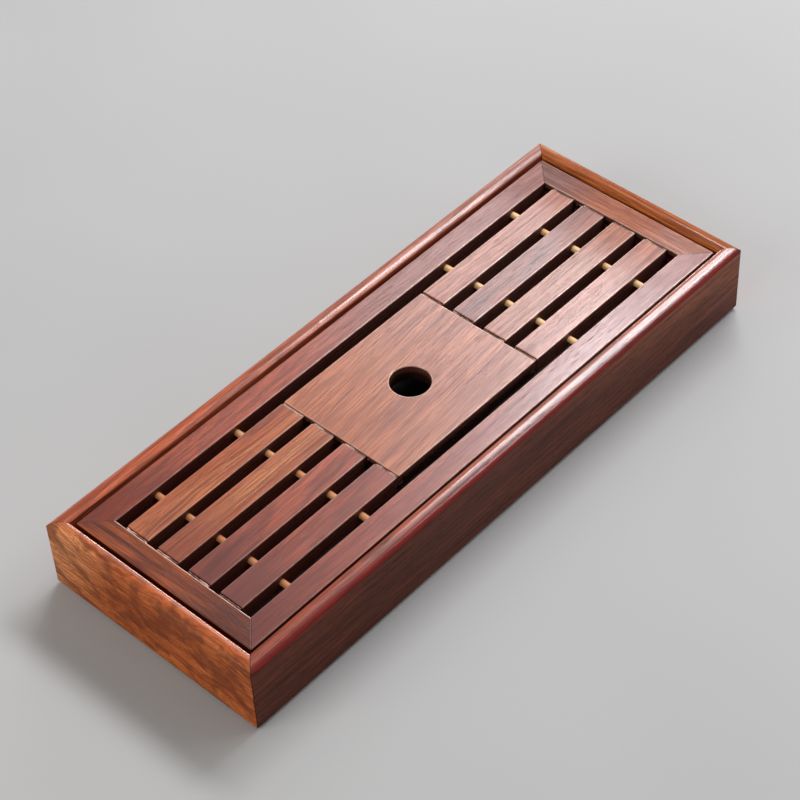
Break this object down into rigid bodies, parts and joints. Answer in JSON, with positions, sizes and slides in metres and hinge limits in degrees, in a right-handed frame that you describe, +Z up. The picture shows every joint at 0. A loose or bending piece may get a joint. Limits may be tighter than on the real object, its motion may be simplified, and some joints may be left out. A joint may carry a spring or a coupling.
{
  "type": "gongfu tea tray",
  "caption": "Long wooden tea tray: a mitred box holds a lift-out slatted grille with a finger hole, over a removable plastic water tray.",
  "frame": {"origin": "centre of the footprint, on the surface that the feet stand on", "axes": "+X along the tray's length, +Y from the front wall to the back wall, +Z up out of the box"},
  "size_m": [0.4, 0.15, 0.048],
  "materials": {
    "rosewood_long_wall": "satin lacquer on the crown, oiled faces",
    "rosewood_end_wall": "satin lacquer on the crown, oiled faces",
    "rosewood_rail": "satin lacquer",
    "rosewood_left_slat": "satin lacquer",
    "rosewood_right_slat": "satin lacquer",
    "rosewood_board": "satin lacquer",
    "panel_wood": "bare, sanded",
    "spline_wood": "bare, sanded",
    "bamboo": "bare, smooth",
    "tray_plastic": "moulded, slightly glossy",
    "pad_rubber": "matte"
  },
  "bodies": {
    "box": {"front_wall": "rosewood_long_wall", "back_wall": "rosewood_long_wall", "left_end_wall": "rosewood_end_wall", "right_end_wall": "rosewood_end_wall", "bottom_panel": "panel_wood", "left_bearer": "panel_wood", "right_bearer": "panel_wood", "corner_key_front_left": "spline_wood", "corner_key_front_right": "spline_wood", "corner_key_back_right": "spline_wood", "corner_key_back_left": "spline_wood", "foot_front_left": "pad_rubber", "foot_front_right": "pad_rubber", "foot_back_right": "pad_rubber", "foot_back_left": "pad_rubber"},
    "grille": {"front_rail": "rosewood_rail", "back_rail": "rosewood_rail", "left_rail": "rosewood_rail", "right_rail": "rosewood_rail", "centre_board": "rosewood_board", "left_slat_1": "rosewood_left_slat", "left_slat_2": "rosewood_left_slat", "left_slat_3": "rosewood_left_slat", "left_slat_4": "rosewood_left_slat", "right_slat_1": "rosewood_right_slat", "right_slat_2": "rosewood_right_slat", "right_slat_3": "rosewood_right_slat", "right_slat_4": "rosewood_right_slat", "left_dowel_1": "bamboo", "left_dowel_2": "bamboo", "right_dowel_1": "bamboo", "right_dowel_2": "bamboo", "frame_key_front_left": "spline_wood", "frame_key_front_right": "spline_wood", "frame_key_back_right": "spline_wood", "frame_key_back_left": "spline_wood"},
    "water_tray": {"water_tray": "tray_plastic"}
  },
  "joints": [
    {"name": "grille_lift", "type": "slide", "parent": "box", "child": "grille", "axis": [0, 0, 1], "range_m": [0, 0.12]},
    {"name": "water_tray_lift", "type": "slide", "parent": "box", "child": "water_tray", "axis": [0, 0, 1], "range_m": [0, 0.06]}
  ],
  "couplings": [
    {"joint": "water_tray_lift", "follows": "grille_lift", "ratio": 0.5}
  ]
}
